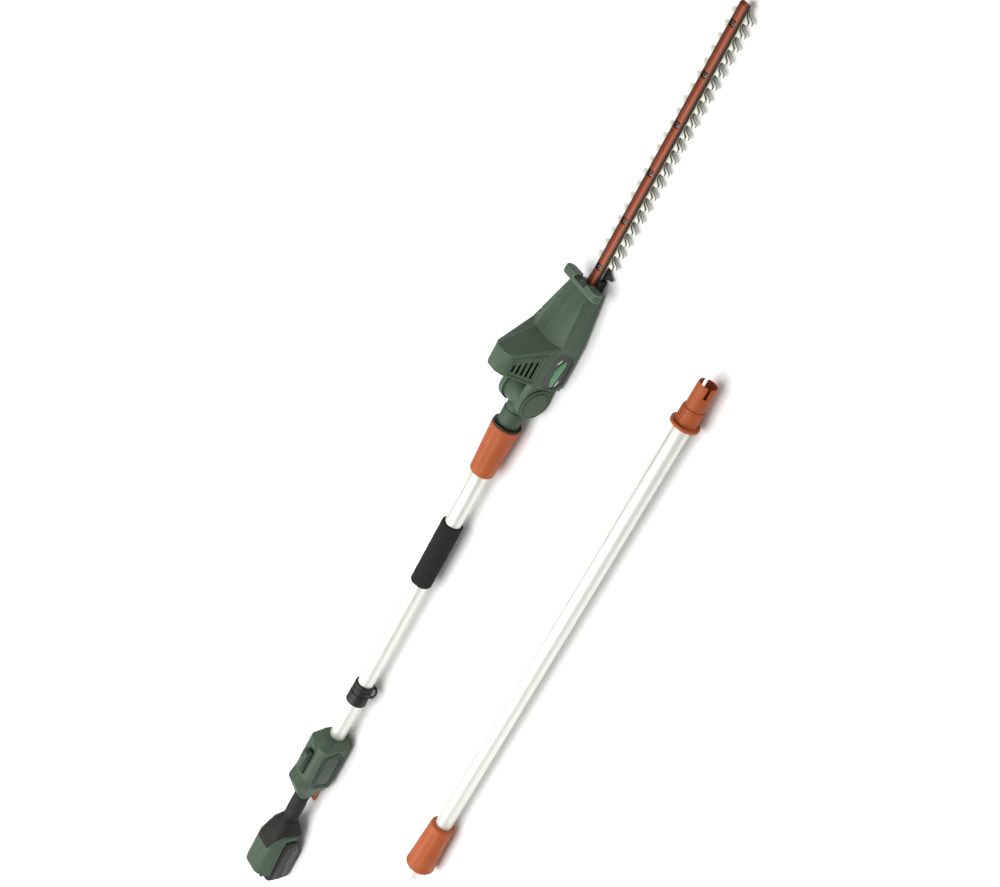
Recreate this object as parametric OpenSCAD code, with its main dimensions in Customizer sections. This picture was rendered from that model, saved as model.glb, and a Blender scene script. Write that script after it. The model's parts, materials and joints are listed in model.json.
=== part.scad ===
// Cordless pole hedge trimmer with its extension tube, in millimetres.
// The pole lies along X with the blades towards +X; the whole rests on the plane z = 0.
// Inside tool() a datum on the pole's centre line is used: x = 0 lies in the pole joint, z = 0 on the
// centre line, and +Y is to the left when looking along the blades.

/* [Pole] */
// Outer diameter of the pole tube
tube_d = 30; // [29.6:0.1:30]
// Wall of the pole tube
tube_wall = 1.5; // [1:0.1:2]
// Length of bare pole between the locking sleeve and the handle
pole_reach = 645; // [560:1:700]
// Outer diameter of the foam hand grip
foam_d = 40; // [36:1:44]
// Length of the foam hand grip
foam_len = 139; // [100:1:160]

/* [Blades] */
// Distance from one tooth to the next
tooth_pitch = 22.5; // [21:0.5:23]
// Number of teeth along each side of a blade
tooth_count = 21; // [13:4:21]
// Half width of the lower blade, over its tooth tips
tooth_reach = 25; // [23:0.5:28]
// Thickness of one blade
blade_t = 2.4; // [2:0.1:2.4]
// Crank throw, half of one blade's stroke
throw = 5.6; // [4:0.1:5.8]
// How far each blade rests from the middle of its stroke
blade_offset = 1.4; // [0:0.1:4]

/* [Head] */
// Half width of the head housing
head_w = 44; // [43:0.5:46]
// Height of the motor tower above the pole's centre line
tower_z = 105; // [104:1:110]
// Wall of the plastic shells
wall = 2.8; // [2.2:0.1:2.8]

/* [Extension tube] */
// Overall length of the extension tube
ext_len = 1120; // [700:10:1200]
// Distance between the pole and the extension tube lying beside it
ext_gap = 305; // [250:5:400]

/* [Hidden] */
$fn = 64;

tube_r = tube_d / 2;
bore_r = tube_r + 0.06;          // running fit over the tube
spigot_r = tube_r - 0.4;         // turned-down tube end
spigot_len = 30;
slit = 0.02;                     // thickness of the slices that the hulls join
axis_z = 32;                     // height of the pole's centre line when the tool lies down

// Pole joint: sleeve, plug and tube end
sleeve_front = 38;
sleeve_len = 105;
sleeve_rear = sleeve_front - sleeve_len;
sleeve_r = [22.2, 26.7];         // outer radius at the narrow and at the wide end
sleeve_bore_r = 20.6;
end_reach = 26;                  // tube end beyond the sleeve's wide end
tube_front = sleeve_front + end_reach;
plug_r = 16.4;
thread_r = 19.4;
thread_len = 29;
plug_len = 80;
slot_w = 5.7;
slot_len = 20;
pin_gap = 5;                     // half distance between the two contact pins

// Handle
handle_front = sleeve_rear - pole_reach;
hx = handle_front + 712;         // all handle stations move with the pole length
tube_rear = handle_front - 76;
grip_z = 6;
grip_r = 15;
grip_core_r = 11.5;
rear_x = -1063 + hx;             // rear face of the battery foot
pack_x = [-1085 + hx, -976 + hx];
pack_w = 36;
pack_top = 13;
pack_split = 0;
foot_z = 14;
rail_w = [17.5, 21.6];           // half widths of the battery rail's neck and head
rail_z = [18, 23.5];

// Head
pivot_x = 108;
ear_r = 31.5;
ear_y = 31.4;                    // outer face of the arms
barrel_r = 28;
barrel_y = [-19, 21];
pivot_r = 6;
face_x = 326;                    // front face of the shells, behind the cross guard
ridge_x = 233;
crown_x = 202;
rear_foot_x = 145;               // rear face at the bottom
rear_lean = 7.5;                 // its lean towards the blades, degrees
motor_x = 183;
motor_r = 18.5;
pinion_teeth = 9;
gear_teeth = 51;
gear_mod = 31 / 30;              // centre distance 31 over half the sum of teeth
crank_x = motor_x + gear_mod * (pinion_teeth + gear_teeth) / 2;
gear_z = [-14.5, -7.5];
crank_disc_r = 7;
crank_angle = acos(-blade_offset / throw);

// Blades, from the top: guard bar, upper blade, lower blade
guard_z = -19.9;
guard_t = 7.5;
guard_top = 4.6;                 // half width of the bar's flat top
guard_w = 9;
upper_z = guard_z - 0.3 - blade_t;
lower_z = upper_z - 0.3 - blade_t;
spine_w = 10;
first_tooth = 378.5;
bolt_first = 366;
bolt_step = 4 * tooth_pitch;
bolt_count = floor((tooth_count - 1) / 4) + 1;
blade_tip = first_tooth + (tooth_count - 1) * tooth_pitch + 14;
guard_tip = blade_tip + 9.5;
bolt_r = 2.5;

// Extension tube
ext_x = -745;
ext_sleeve_x = ext_x + end_reach;
ext_flange = ext_x + ext_len - plug_len;

// Where the datum lies, so that the whole is centred over the origin
shift_x = -(guard_tip + pack_x[0]) / 2;
shift_y = (ext_gap + sleeve_r[1] - 46) / 2;

green = [0.33, 0.41, 0.33];
orange = [0.75, 0.38, 0.25];
copper = [0.66, 0.27, 0.16];
black = [0.13, 0.13, 0.13];
alloy = [0.85, 0.86, 0.84];
steel = [0.72, 0.73, 0.74];

module tool() { translate([shift_x, shift_y, axis_z]) children(); }

// Child's +Z turned to +X, starting at x
module along_x(x, z = 0) { translate([x, 0, z]) rotate([0, 90, 0]) children(); }

// Child's +Z turned to +Y, starting at y
module along_y(x, y, z) { translate([x, y, z]) rotate([-90, 0, 0]) children(); }

module block(low, high) { translate(low) cube(high - low); }

// Outline in the X-Z plane given to a plate between two Y values
module plate_y(points, y0, y1) {
    translate([0, y1, 0]) rotate([90, 0, 0]) linear_extrude(y1 - y0) polygon(points);
}

// Ten-sided cross-section: s = [half top, top z, half shoulder, shoulder z, half width, upper side z,
// lower side z, half bottom, bottom z], shrunk by i on every side
function section(s, i = 0) = let (r = [
    [s[0] - i / 2, s[1] - i], [s[2] - 0.9 * i, s[3] - 0.7 * i], [s[4] - i, s[5] - 0.3 * i],
    [s[4] - i, s[6] + 0.3 * i], [s[7] - i / 2, s[8] + i]])
    concat(r, [for (k = [4:-1:0]) [-r[k][0], r[k][1]]]);

module slice(x, s, i = 0) {
    translate([x, 0, 0]) rotate([90, 0, 90]) linear_extrude(slit) polygon(section(s, i));
}

// Straight length of one cross-section
module prism(x0, x1, s, i = 0) {
    translate([x0, 0, 0]) rotate([90, 0, 90]) linear_extrude(x1 - x0) polygon(section(s, i));
}

// Solid between two cross-sections
module loft(x0, s0, x1, s1, i = 0) {
    hull() {
        slice(x0, s0, i);
        slice(x1, s1, i);
    }
}

// Keeps the half of the child on one side of the middle plane
module half(side) {
    intersection() {
        children();
        translate([-1500, side > 0 ? 0 : -200, -200]) cube([3000, 200, 500]);
    }
}

// ---------------------------------------------------------------- pole

// Tube with a turned-down end at z = 0 and, where tail is more than 0, another beyond h
module tube(h, tail = 0) {
    difference() {
        union() {
            cylinder(r = spigot_r, h = h + tail);
            translate([0, 0, spigot_len]) cylinder(r = tube_r, h = h - spigot_len);
        }
        translate([0, 0, -1]) cylinder(r = tube_r - tube_wall, h = h + tail + 2);
    }
}

module pole_tube() {
    color(alloy) tool() translate([tube_front, 0, 0]) rotate([0, -90, 0]) tube(tube_front - tube_rear);
}

module pole_cable() {
    color(black) tool() along_x(tube_rear + 4)
        cylinder(r = 3.5, h = tube_front - 17 - tube_rear);
}

module foam_grip() {
    color(black) tool() along_x(sleeve_rear - 116 - foam_len) difference() {
        union() {
            translate([0, 0, 2]) cylinder(r = foam_d / 2, h = foam_len - 4);
            cylinder(r = foam_d / 2 - 1.5, h = foam_len);
        }
        translate([0, 0, -1]) cylinder(r = tube_r, h = foam_len + 2);
    }
}

strap_x = handle_front + 139;
eye_angle = 222;                 // direction of the strap eye about the pole
eye_r = 27.8;                    // outside of the bow
eye_gap = 24.6;                  // inside of the bow

module strap_ring() {
    color(black) tool() difference() {
        union() {
            along_x(strap_x - 20) cylinder(r = 18.8, h = 20);
            along_x(strap_x - 16) rotate(eye_angle - 270) linear_extrude(6) polygon(concat(
                [[16, -12.8]], [for (a = [-44:4:44]) eye_r * [cos(a), sin(a)]], [[16, 12.8], [17.2, 11]],
                [for (a = [36:-4:-36]) eye_gap * [cos(a), sin(a)]], [[17.2, -11]]));
        }
        along_x(strap_x - 21) cylinder(r = tube_r, h = 22);
    }
}

module strap_band() {
    color(black) tool() along_x(strap_x - 46) difference() {
        union() {
            translate([0, 0, 3]) cylinder(r = 19.3, h = 21);
            cylinder(r1 = 20, r2 = 19.3, h = 3);
            translate([0, 0, 24]) cylinder(r = 17, h = 2);
        }
        translate([0, 0, -1]) cylinder(r = tube_r, h = 28);
        translate([0, -17.6, 12]) rotate([90, 0, 0]) cylinder(r = 2.6, h = 4);
    }
}

module strap_screw() {
    color(steel) tool() translate([strap_x - 34, -18.9, 0]) rotate([-90, 0, 0]) difference() {
        cylinder(r = 2.5, h = 1.3);
        translate([0, 0, -1]) cylinder(r = 1.2, h = 2, $fn = 6);
    }
}

// Disc that closes the tube end, with two wells for the contact pins
module end_disc() {
    difference() {
        cylinder(r = tube_r - tube_wall, h = 12);
        for (s = [-1, 1]) translate([0, s * pin_gap, 4]) cylinder(r = 3, h = 9);
    }
}

module contact_pins() {
    for (s = [-1, 1]) translate([0, s * pin_gap, 4]) cylinder(r = 1.3, h = 7.5);
}

module pole_end_disc() { color(black) tool() along_x(tube_front - 12) end_disc(); }

module pole_contacts() { color(steel) tool() along_x(tube_front - 12) contact_pins(); }

// ---------------------------------------------------------------- locking sleeve and neck

module sleeve_body() {
    difference() {
        rotate_extrude() polygon(concat(
            [[0, 0]],
            [for (a = [0:15:90]) [sleeve_r[0] - 6 + 6 * sin(a), 6 - 6 * cos(a)]],
            [[sleeve_r[1], sleeve_len - 3], [sleeve_r[1] - 1.2, sleeve_len], [0, sleeve_len]]));
        translate([0, 0, -1]) cylinder(r = bore_r, h = sleeve_len + 2);
        translate([0, 0, 19]) cylinder(r = sleeve_bore_r, h = sleeve_len);
        for (a = [0:30:359]) rotate(a) translate([sleeve_r[0] + 4.2, -0.7, 34])
            rotate([0, 2.5, 0]) cube([3, 1.4, sleeve_len]);
    }
}

module locking_sleeve() { color(orange) tool() along_x(sleeve_rear) sleeve_body(); }

// Split plug: threaded part at z = 0, slotted prongs towards +Z
module plug_body(flange_r, back_r) {
    difference() {
        union() {
            cylinder(r = flange_r, h = 5);
            cylinder(r = plug_r, h = plug_len - 3);
            translate([0, 0, plug_len - 3]) cylinder(r1 = plug_r, r2 = plug_r - 0.9, h = 3);
            cylinder(r = thread_r - 1.2, h = thread_len + 5);
            for (k = [0:4]) intersection() {
                translate([0, 0, 9 + k * 5]) cylinder(r = thread_r, h = 2.6);
                translate([-11, -25, 0]) cube([22, 50, 60]);
            }
        }
        translate([0, 0, -1]) cylinder(r = back_r, h = 20);
        translate([0, 0, 15]) cylinder(r = bore_r, h = plug_len);
        translate([-30, -slot_w / 2, plug_len - slot_len]) cube([60, slot_w, slot_len + 1]);
    }
}

module neck_yoke() {
    color(green) tool() difference() {
        union() {
            along_y(pivot_x, barrel_y[0], 0) cylinder(r = barrel_r, h = barrel_y[1] - barrel_y[0]);
            along_x(sleeve_front - 4) cylinder(r = 20, h = 38);
            along_x(sleeve_front + 33) cylinder(r = 18.6, h = 15);
            translate([sleeve_front, 0, 0]) rotate([0, -90, 0]) plug_body(thread_r - 1.2, bore_r);
        }
        along_x(sleeve_front - 16) cylinder(r = bore_r, h = 12.5);
        along_x(sleeve_front - 4.5) cylinder(r = spigot_r + 0.06, h = end_reach + 10);
        along_y(pivot_x, -40, 0) cylinder(r = pivot_r + 0.05, h = 80);
    }
}

module neck_ring() {
    color(black) tool() along_x(sleeve_front + 0.3) difference() {
        cylinder(r = 25.5, h = 3.7);
        translate([0, 0, -1]) cylinder(r = 20, h = 6);
    }
}

// ---------------------------------------------------------------- head

front_s = [11, 10, 23, 7, 29, 0, -24, 24, -30];
ridge_s = [20, 35, 32, 28.5, head_w, 22, -24, head_w - 8, -axis_z];
crown_s = [10, tower_z, 21, tower_z - 9, head_w, 29, -24, head_w - 8, -axis_z];
slope_angle = atan((tower_z - 9 - 29) / (head_w - 21));

// Everything behind the leaning rear face
module behind_rear(i = 0) {
    translate([rear_foot_x + i, -60, -axis_z]) rotate([0, rear_lean, 0])
        translate([-90, 0, -30]) cube([90, 120, 220]);
}

module head_form(i = 0) {
    difference() {
        union() {
            loft(face_x - 2 * i, front_s, ridge_x, ridge_s, i);
            loft(ridge_x, ridge_s, crown_x, crown_s, i);
            prism(rear_foot_x - 5, crown_x + slit, crown_s, i);
        }
        behind_rear(i);
    }
}

// Sets the child on the sloping side of the tower: local x along the tool, local -y down the slope
module on_slope(side) {
    mirror([0, side > 0 ? 1 : 0, 0]) translate([0, -21, tower_z - 9]) rotate([slope_angle, 0, 0])
        children();
}

vent_window = [[166, -8], [193, -8], [211, -56], [160, -56]];
vent_slots = [for (k = [0:4]) [171 - k * 1.1, 187 + k * 3.6, -14 - k * 9]];

badge_outline = [[149, -9], [161, -22], [203, -22], [215, -13], [219, 11], [210, 21], [168, 25],
    [153, 18]];

// x, z and outermost y of each head screw
screw_spots = [[312, 1, 28], [252, 20, 33], [158, -22, 41], [170, 98.6, 14.5], [207, 66, 26.5]];
screw_r = 1.6;

module head_arm(side) {
    y0 = side > 0 ? barrel_y[1] + 0.4 : -ear_y;
    y1 = side > 0 ? ear_y : barrel_y[0] - 0.4;
    along_y(pivot_x, y0, 0) cylinder(r = ear_r, h = y1 - y0);
    plate_y([[pivot_x, ear_r], [158, 26], [158, -ear_r], [pivot_x, -ear_r]], y0, y1);
}

module head_shell(side) {
    color(green) tool() difference() {
        union() {
            half(side) difference() {
                head_form();
                difference() {
                    head_form(wall);
                    for (p = screw_spots) along_y(p[0], -50, p[1]) cylinder(r = 4.2, h = 100);
                }
                block([face_x - 12, -10.4, -28], [face_x + 2, 10.4, -10.6]);
                on_slope(side) translate([0, 0, -6]) linear_extrude(12) polygon(vent_window);
                plate_y(badge_outline, side > 0 ? head_w - 1.8 : -head_w - 1,
                    side > 0 ? head_w + 1 : 1.8 - head_w);
            }
            head_arm(side);
        }
        along_y(pivot_x, -50, 0) cylinder(r = pivot_r + 0.04, h = 100);
        for (p = screw_spots) {
            along_y(p[0], -12, p[1]) cylinder(r = screw_r, h = p[2] + 13);
            if (side > 0) along_y(p[0], p[2] - 3, p[1]) cylinder(r = 3.6, h = 63 - p[2]);
        }
        tilt_button_seat();
    }
}

module head_shell_left() { head_shell(1); }

module head_shell_right() { head_shell(-1); }

module head_screws() {
    color(steel) tool() for (p = screw_spots) {
        along_y(p[0], -10.5, p[1]) cylinder(r = screw_r - 0.05, h = p[2] + 9);
        along_y(p[0], p[2] - 2.9, p[1]) difference() {
            cylinder(r = 3.1, h = 2.4);
            translate([0, 0, 1]) cylinder(r = 1.4, h = 2.4, $fn = 6);
        }
    }
}

module vent_grille(side) {
    color(green) tool() on_slope(side) translate([0, 0, -wall]) linear_extrude(wall - 0.5) difference() {
        polygon(vent_window);
        for (s = vent_slots) translate([s[0], s[2] - 2.2]) square([s[1] - s[0], 4.4]);
    }
}

module vent_grille_left() { vent_grille(1); }

module vent_grille_right() { vent_grille(-1); }

module badge_plate(side) {
    color(black) tool() plate_y(badge_outline, side > 0 ? head_w - 1.8 : 0.6 - head_w,
        side > 0 ? head_w - 0.6 : 1.8 - head_w);
}

module badge_plate_left() { badge_plate(1); }

module badge_plate_right() { badge_plate(-1); }

module cross_guard() {
    color(green) tool() difference() {
        union() {
            block([face_x, -36, -7], [face_x + 14, 36, 13]);
            for (s = [-1, 1]) along_x(face_x, 3) translate([0, s * 36, 0]) cylinder(r = 10, h = 14);
        }
        block([face_x + 7, -15, -8], [face_x + 15, 15, 14]);
    }
}

module entry_block() {
    color(black) tool() difference() {
        block([face_x, -16, -31], [face_x + 21, 10.8, -15]);
        block([face_x - 1, -10.2, -28], [face_x + 25, 10.2, -10.6]);
    }
}

module root_hook() {
    x0 = face_x + 21;
    color(black) tool() translate([0, 0, -28]) linear_extrude(2.4) polygon([[x0, -6], [x0, -12],
        [x0 + 5, -15], [x0 + 7.5, -20], [x0 + 8.5, -26], [x0 + 11, -27.5], [x0 + 13, -26],
        [x0 + 14.5, -20], [x0 + 18, -14.5], [x0 + 24, -11], [x0 + 24, -6]]);
}

module pivot_pin() {
    color(steel) tool() along_y(pivot_x, -29, 0) cylinder(r = pivot_r, h = 58);
}

module pivot_cap_left() {
    color(green) tool() along_y(pivot_x, ear_y, 0) difference() {
        cylinder(r = 21, h = 2);
        translate([0, 0, 1.2]) cylinder(r = 15, h = 2);
    }
}

module pivot_cap_right() {
    color(green) tool() along_y(pivot_x, -ear_y - 4.6, 0) union() {
        translate([0, 0, 2.2]) cylinder(r = 27, h = 2.4);
        cylinder(r1 = 21, r2 = 24, h = 2.2);
    }
}

module tilt_button_seat() { block([144, -16.4, 29.6], [161, -3.6, 40.4]); }

module tilt_button() { color(black) tool() block([146, -16, 30], [157, -4, 40]); }

module gearbox_base() {
    color(steel) tool() difference() {
        block([172, -18, -29], [232, 18, -27.4]);
        translate([crank_x, 0, -30]) cylinder(r = 4.4, h = 4);
    }
}

module gearbox_plate() {
    color(alloy) tool() difference() {
        block([160, -29, 11], [238, 29, 15]);
        translate([motor_x, 0, 10]) cylinder(r = 6, h = 6);
        translate([crank_x, 0, 10]) cylinder(r = 7, h = 6);
    }
}

module shaft_bearings() {
    color(steel) tool() {
        translate([crank_x, 0, 5]) ring(7, 4.05, 10);
        translate([crank_x, 0, -27.4]) ring(8, 4.05, 1.5);
        translate([motor_x, 0, 9]) ring(6, 2.55, 6);
    }
}

module ring(outer, inner, h) {
    difference() {
        cylinder(r = outer, h = h);
        translate([0, 0, -1]) cylinder(r = inner, h = h + 2);
    }
}

module motor_can() {
    color(steel) tool() translate([motor_x, 0, 15.2]) difference() {
        cylinder(r = motor_r, h = 70.8);
        translate([0, 0, 2.5]) cylinder(r = motor_r - 1.8, h = 65.8);
        translate([0, 0, -1]) cylinder(r = 3, h = 80);
    }
}

// Spur gear outline with straight-sided teeth and running play
function gear_points(teeth, mod, turn) = [for (k = [0:teeth - 1]) let (r = teeth * mod / 2,
    step = 360 / teeth, a = k * step + turn) each [
    [r - 1.15 * mod, a - 0.36 * step], [r - 0.15 * mod, a - 0.2 * step],
    [r + 0.75 * mod, a - 0.1 * step], [r + 0.75 * mod, a + 0.1 * step],
    [r - 0.15 * mod, a + 0.2 * step], [r - 1.15 * mod, a + 0.36 * step]]];

module gear(teeth, mod, turn, h) {
    linear_extrude(h) polygon([for (p = gear_points(teeth, mod, turn)) p[0] * [cos(p[1]), sin(p[1])]]);
}

module motor_rotor() {
    color(steel) tool() translate([motor_x, 0, 0]) {
        translate([0, 0, -15]) cylinder(r = 2.5, h = 109);
        translate([0, 0, 24]) cylinder(r = 15.5, h = 52);
        translate([0, 0, gear_z[0]]) gear(pinion_teeth, gear_mod, 0, gear_z[1] - gear_z[0]);
    }
}

module motor_fan() {
    color(black) tool() translate([motor_x, 0, 88]) difference() {
        union() {
            cylinder(r = 5, h = 5);
            cylinder(r = 14.5, h = 1);
            for (a = [0:45:359]) rotate(a) translate([4, -0.6, 0]) cube([10, 1.2, 3.5]);
        }
        translate([0, 0, -1]) cylinder(r = 2.5, h = 8);
    }
}

module crank_gear() {
    color(steel) tool() translate([crank_x, 0, 0]) {
        translate([0, 0, -26.4]) cylinder(r = 4, h = 40.4);
        translate([0, 0, gear_z[0]])
            gear(gear_teeth, gear_mod, 180 + 180 / gear_teeth, gear_z[1] - gear_z[0]);
        for (s = [-1, 1]) rotate(crank_angle + (s < 0 ? 180 : 0))
            translate([throw, 0, s > 0 ? upper_z + 0.1 : lower_z + 0.1])
                cylinder(r = crank_disc_r, h = blade_t - 0.2);
    }
}

// Outline of the two teeth that stand opposite each other, with the spine between them: each
// tooth is upright towards the head and slants towards the tip of the blade
function tooth_pair(reach) = let (side = [[-5.6, spine_w + 0.4], [-3.7, spine_w + 1.4],
    [-2.9, spine_w + 3], [-2.9, reach - 0.9], [-2.1, reach], [2, reach], [2.9, reach - 0.9],
    [6.6, spine_w + 2.2], [8, spine_w + 1], [9.8, spine_w + 0.4]])
    concat([for (p = side) [p[0], -p[1]]], [for (k = [len(side) - 1:-1:0]) side[k]]);

// Flat toothed blade; reach is its half width and shift moves it along its stroke
module blade(reach, shift, z) {
    tip = blade_tip + shift;
    yoke_x = crank_disc_r + 2 * throw + 0.4;
    yoke_y = crank_disc_r + throw + 0.4;
    translate([0, 0, z]) linear_extrude(blade_t) difference() {
        union() {
            translate([230 + shift, -spine_w]) square([tip - 236 - shift, 2 * spine_w]);
            translate([tip - 7, 0]) circle(r = spine_w);
            translate([crank_x + shift - yoke_x - 7, -yoke_y - 6])
                square([2 * yoke_x + 14, 2 * yoke_y + 12]);
            for (k = [0:tooth_count - 1]) translate([first_tooth + shift + k * tooth_pitch, 0])
                polygon(tooth_pair(reach));
        }
        translate([crank_x + shift - yoke_x, -yoke_y]) square([2 * yoke_x, 2 * yoke_y]);
        for (k = [0:bolt_count - 1]) translate([bolt_first + k * bolt_step + shift, 0]) {
            square([2 * throw, 2 * bolt_r + 0.8], center = true);
            for (e = [-1, 1]) translate([e * throw, 0]) circle(r = bolt_r + 0.4);
        }
    }
}

module upper_blade() { color(steel) tool() blade(tooth_reach - 5.5, -blade_offset, upper_z); }

module lower_blade() { color(steel) tool() blade(tooth_reach, blade_offset, lower_z); }

module guard_bar() {
    top = guard_z + guard_t;
    color(copper) tool() difference() {
        translate([262, 0, 0]) rotate([90, 0, 90]) linear_extrude(guard_tip - 262) polygon([
            [-guard_w, guard_z], [guard_w, guard_z], [guard_w, top - 1.5], [guard_top, top],
            [-guard_top, top], [-guard_w, top - 1.5]]);
        translate([guard_tip, 0, top]) rotate([0, 40, 0]) cube([20, 40, 7], center = true);
        for (k = [0:bolt_count - 1]) translate([bolt_first + k * bolt_step, 0, guard_z - 1]) {
            cylinder(r = bolt_r, h = 20);
            translate([-5.8, -4.7, 4.6]) cube([11.6, 11, 20]);
        }
    }
}

module guard_bolts() {
    color(black) tool() for (k = [0:bolt_count - 1])
        translate([bolt_first + k * bolt_step, 0, guard_z]) {
            translate([0, 0, -9.4]) cylinder(r = bolt_r, h = 13);
            difference() {
                translate([0, 0, 3.6]) cylinder(r = 4.1, h = 2.6);
                translate([0, 0, 5]) cylinder(r = 2, h = 3, $fn = 6);
            }
            translate([0, 0, -9.4]) cylinder(r = 4.4, h = 3.2, $fn = 6);
        }
}

// ---------------------------------------------------------------- handle

mouth_s = [9, 29, 15, 26, 21, 15, -14, 15, -22];
body_s = [11, 41.6, 19, 39, 27, 33, -20, 20, -29];
hump_s = [14, 51, 21, 45, 27, 31, -20, 20, -29];
throat_s = [9, 21, 13, 18, 15, 12, 0, 9, -8];
neck_s = [9, 20, 13, 17, 16, 11, 0, 10, -8];
shoulder_s = [11, 32, 19, 28, 28, 14, -12, 24, -18];
instep_s = [17, 42, 22, 39.5, 30, 31, -13, 27, -18];
foot_s = [15, 42, 21.5, 39, 32.5, 28, -13, 28, -18];

module handle_form() {
    loft(hx - 726, body_s, hx - 710, mouth_s);
    prism(hx - 808, hx - 726 + slit, body_s);
    loft(hx - 824, hump_s, hx - 808, body_s);
    loft(hx - 866, throat_s, hx - 824, hump_s);
    loft(hx - 958, shoulder_s, hx - 935, neck_s);
    loft(hx - 990, instep_s, hx - 958, shoulder_s);
    loft(rear_x, foot_s, hx - 990, instep_s);
    along_x(hx - 937, grip_z) cylinder(r = grip_core_r, h = 73);
}

module handle_hollow() {
    prism(hx - 823, hx - 728, body_s, wall);
    prism(rear_x + wall, hx - 964, shoulder_s, wall);
    prism(rear_x + wall, hx - 992, instep_s, wall);
    along_x(hx - 965, grip_z) cylinder(r = 7, h = 142, $fn = 24);
}

module battery_bay() {
    block([rear_x - 1, -40, -40], [hx - 974, 40, foot_z]);
    block([rear_x - 1, -rail_w[0] - 0.5, foot_z - 1], [hx - 985, rail_w[0] + 0.5, rail_z[0]]);
    block([rear_x - 1, -rail_w[1] - 0.4, rail_z[0] - 0.4], [hx - 985, rail_w[1] + 0.4, rail_z[1] + 0.5]);
}

panel_outline = [[hx - 739, 31.5], [hx - 729, 1], [hx - 748, -17], [hx - 812, -18], [hx - 823, -13],
    [hx - 823, 15], [hx - 810, 29.5]];
handle_screw_spots = [[hx - 736, -22, 22.5], [hx - 751, 36, 19.5], [hx - 817, 36, 20.5],
    [hx - 966, -4, 25.5], [hx - 1052, 33, 24.5]];

module handle_shell(side) {
    color(green) tool() half(side) difference() {
        handle_form();
        difference() {
            handle_hollow();
            block([rear_x, -40, foot_z], [hx - 982, 40, rail_z[1] + 3.2]);
            block([hx - 976.5, -40, -20], [hx - 972, 40, rail_z[1]]);
            for (p = handle_screw_spots) along_y(p[0], -50, p[1]) cylinder(r = 4, h = 100, $fn = 24);
        }
        battery_bay();
        along_x(tube_rear) cylinder(r = tube_r + 0.04, h = 120);
        plate_y(panel_outline, side > 0 ? 25.6 : -30, side > 0 ? 30 : -25.6);
        block([hx - 868, -6.3, -34], [hx - 830, 6.3, 2]);
        block([hx - 831, -3, -6], [hx - 822, 3, 1]);
        block([hx - 985.5, -17.1, foot_z + 0.4], [hx - 979.9, 17.1, rail_z[1] - 0.2]);
        block([hx - 796, -4.5, 30], [hx - 759, 4.5, 50]);
        along_y(hx - 838, -12, -8) cylinder(r = 2.5, h = 24, $fn = 24);
        for (p = handle_screw_spots) {
            along_y(p[0], -10, p[1]) cylinder(r = screw_r, h = p[2] + 11, $fn = 24);
            if (side > 0) along_y(p[0], p[2] - 2, p[1]) cylinder(r = 3.4, h = 62 - p[2], $fn = 24);
        }
    }
}

module handle_shell_left() { handle_shell(1); }

module handle_shell_right() { handle_shell(-1); }

module handle_screws() {
    color(steel) tool() for (p = handle_screw_spots) {
        along_y(p[0], -8.3, p[1]) cylinder(r = screw_r - 0.1, h = p[2] + 7);
        along_y(p[0], p[2] - 1.9, p[1]) difference() {
            cylinder(r = 3, h = 1.6);
            translate([0, 0, 0.6]) cylinder(r = 1.3, h = 2, $fn = 6);
        }
    }
}

module grip_rubber() {
    color(black) tool() difference() {
        union() {
            along_x(hx - 934, grip_z) cylinder(r = grip_r, h = 67);
            along_x(hx - 934, grip_z) cylinder(r = grip_r + 1.5, h = 5);
        }
        along_x(hx - 940, grip_z) cylinder(r = grip_core_r, h = 80);
    }
}

module side_panel(side) {
    color(green) tool() plate_y(panel_outline, side > 0 ? 25.6 : -27.3, side > 0 ? 27.3 : -25.6);
}

module side_panel_left() { side_panel(1); }

module side_panel_right() { side_panel(-1); }

module main_switch() {
    color(black) tool() {
        block([hx - 821, -7, -6], [hx - 799, 7, 8]);
        block([hx - 823, -2, -4], [hx - 821, 2, 0]);
    }
}

module control_board() { color([0.1, 0.35, 0.2]) tool() block([hx - 1046, -22, 30], [hx - 996, 22, 31.6]); }

module battery_terminals() {
    color(black) tool() {
        block([hx - 985, -17, foot_z + 0.5], [hx - 980, 17, rail_z[1] - 0.3]);
        for (y = [-10, 0, 10]) block([hx - 999, y - 0.5, 16], [hx - 985, y + 0.5, 22]);
    }
}

module trigger() {
    color(orange) tool() {
        plate_y([[hx - 833, -9], [hx - 836, -4], [hx - 842, -4], [hx - 856, -11], [hx - 868, -17.5],
            [hx - 884, -22.5], [hx - 890, -26], [hx - 889, -29.5], [hx - 882, -30],
            [hx - 870, -28], [hx - 860, -30], [hx - 850, -30], [hx - 838, -20]], -5.6, 5.6);
        along_y(hx - 838, -11, -8) cylinder(r = 2.2, h = 22);
    }
}

module lock_off_lever() {
    color(green) tool() {
        plate_y([[hx - 800, 42], [hx - 798, 46], [hx - 786, 48], [hx - 770, 53], [hx - 760, 56.4],
            [hx - 748, 56], [hx - 741, 51], [hx - 741, 46], [hx - 746, 42]], -7.5, 7.5);
        block([hx - 790, -4, 33], [hx - 766, 4, 42]);
    }
}

// Outline of the battery seen from above, shrunk by i on every side
function pack_plan(i) = let (w = pack_w - i, b = pack_x[0] + i, f = pack_x[1] - i)
    [[f, 3 - w], [f, w - 3], [f - 3, w], [b + 7, w], [b, w - 7], [b, 7 - w], [b + 7, -w], [f - 3, -w]];

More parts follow.
